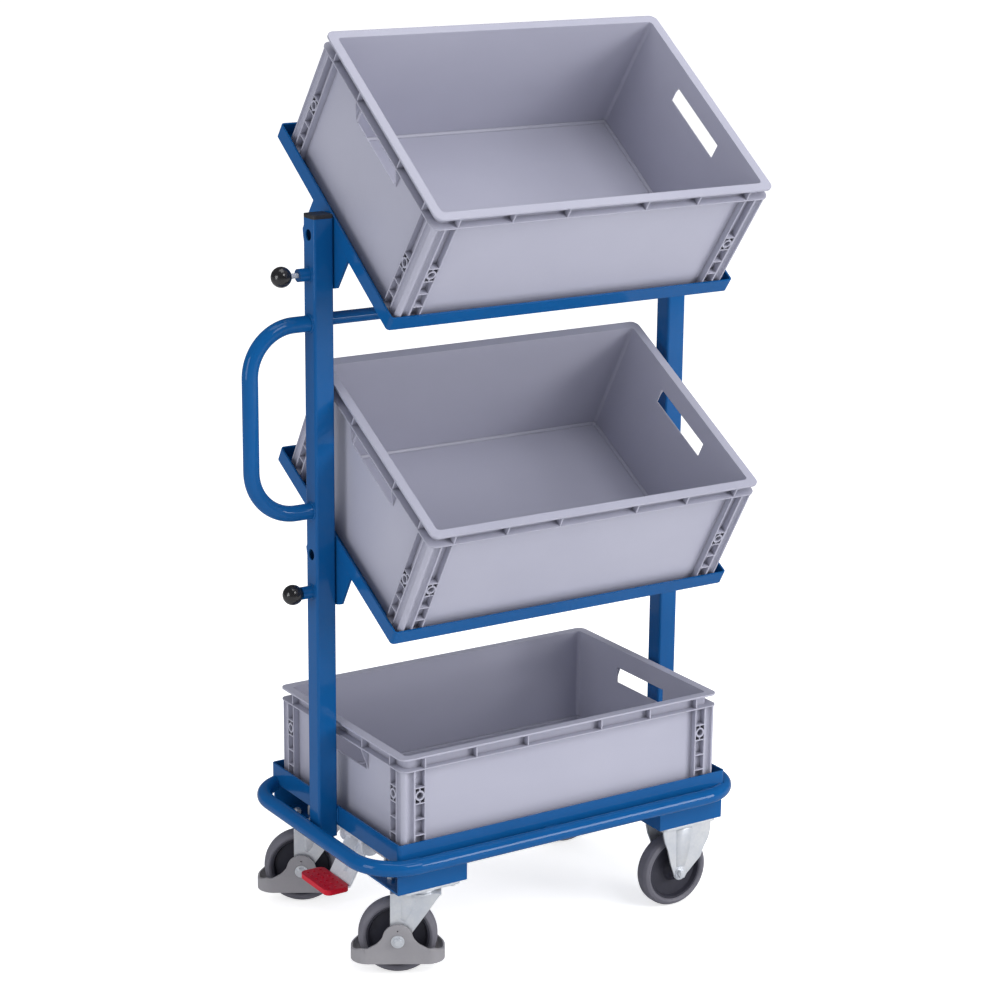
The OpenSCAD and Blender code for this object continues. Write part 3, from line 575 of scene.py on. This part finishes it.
def by_ray(tree, for_camera, for_glossy, otherwise):
    """A value that differs for camera rays and for reflections."""
    path = tree.nodes.new("ShaderNodeLightPath")
    glossy = tree.nodes.new("ShaderNodeMix")
    glossy.inputs[NUMBER_PAIR[0]].default_value = otherwise
    glossy.inputs[NUMBER_PAIR[1]].default_value = for_glossy
    tree.links.new(path.outputs["Is Glossy Ray"], glossy.inputs[MIX_FACTOR])
    seen = tree.nodes.new("ShaderNodeMix")
    seen.inputs[NUMBER_PAIR[1]].default_value = for_camera
    tree.links.new(path.outputs["Is Camera Ray"], seen.inputs[MIX_FACTOR])
    tree.links.new(glossy.outputs[NUMBER_RESULT], seen.inputs[NUMBER_PAIR[0]])
    return seen.outputs[NUMBER_RESULT]


floor_material = bpy.data.materials.new("studio_floor")
floor_material.use_nodes = True
floor_tree = floor_material.node_tree
floor_surface = floor_tree.nodes["Principled BSDF"]
floor_surface.inputs["Roughness"].default_value = 0.8
floor_surface.inputs["Specular IOR Level"].default_value = 0.1
floor_surface.inputs["Emission Color"].default_value = (1.0, 1.0, 1.0, 1.0)
floor_glow = by_ray(floor_tree, for_camera=0.62, for_glossy=0.0, otherwise=0.0)
floor_tone = by_ray(floor_tree, for_camera=0.86, for_glossy=0.50, otherwise=0.92)
floor_tree.links.new(floor_glow, floor_surface.inputs["Emission Strength"])
floor_tree.links.new(floor_tone, floor_surface.inputs["Base Color"])

bpy.ops.mesh.primitive_plane_add(size=FLOOR_WIDTH, location=(0, 0, -FLOOR_DROP))
floor = bpy.context.object
floor.name = "studio_floor"
dress(floor, floor_material)

world = bpy.data.worlds.new("studio_sky")
bpy.context.scene.world = world
world.use_nodes = True
sky = world.node_tree.nodes["Background"]
sky.inputs["Color"].default_value = SKY_COLOUR
sky_strength = by_ray(world.node_tree, for_camera=1.0, for_glossy=0.10, otherwise=0.62)
world.node_tree.links.new(sky_strength, sky.inputs["Strength"])


# lamps: name, place, target, width, height, watts and colour
LAMPS = (
    ("key_right", (3.0, -4.0, 1.6), (0, 0, 0.8), 2.0, 2.0, 116, (1.0, 0.995, 0.98)),
    ("side_left", (-3.3, -0.4, 1.3), (-0.2, 0, 0.7), 1.2, 1.8, 28, (0.98, 0.99, 1.0)),
    ("top_soft", (0.1, -0.3, 4.2), (0, 0, 0.5), 2.4, 2.4, 40, (1, 1, 1)),
    ("front_top", (0.7, -3.0, 3.3), (0, 0, 0.5), 2.0, 1.4, 46, (1, 1, 1)),
)


def area_lamp(name, location, target, width, height, watts, colour):
    data = bpy.data.lights.new(name, "AREA")
    data.shape = "RECTANGLE"
    data.size = width
    data.size_y = height
    data.energy = watts
    data.color = colour
    obj = bpy.data.objects.new(name, data)
    bpy.context.scene.collection.objects.link(obj)
    obj.location = location
    obj.rotation_mode = "QUATERNION"
    obj.rotation_quaternion = (Vector(target) - Vector(location)).to_track_quat("-Z", "Y")


for lamp in LAMPS:
    area_lamp(*lamp)

# camera
camera_data = bpy.data.cameras.new("photo_camera")
camera_data.lens = LENS_MM
camera_data.sensor_width = SENSOR_MM
camera_data.sensor_fit = "HORIZONTAL"
camera_data.clip_end = 200
camera = bpy.data.objects.new("photo_camera", camera_data)
bpy.context.scene.collection.objects.link(camera)
camera_turn = turned("Z", CAMERA_AZIMUTH) @ turned("X", 90 - CAMERA_ELEVATION) @ turned("Z", CAMERA_ROLL)
camera.matrix_world = Matrix.Translation(CAMERA_AT) @ camera_turn.to_4x4()
bpy.context.scene.camera = camera
bpy.context.scene.view_settings.view_transform = "Standard"
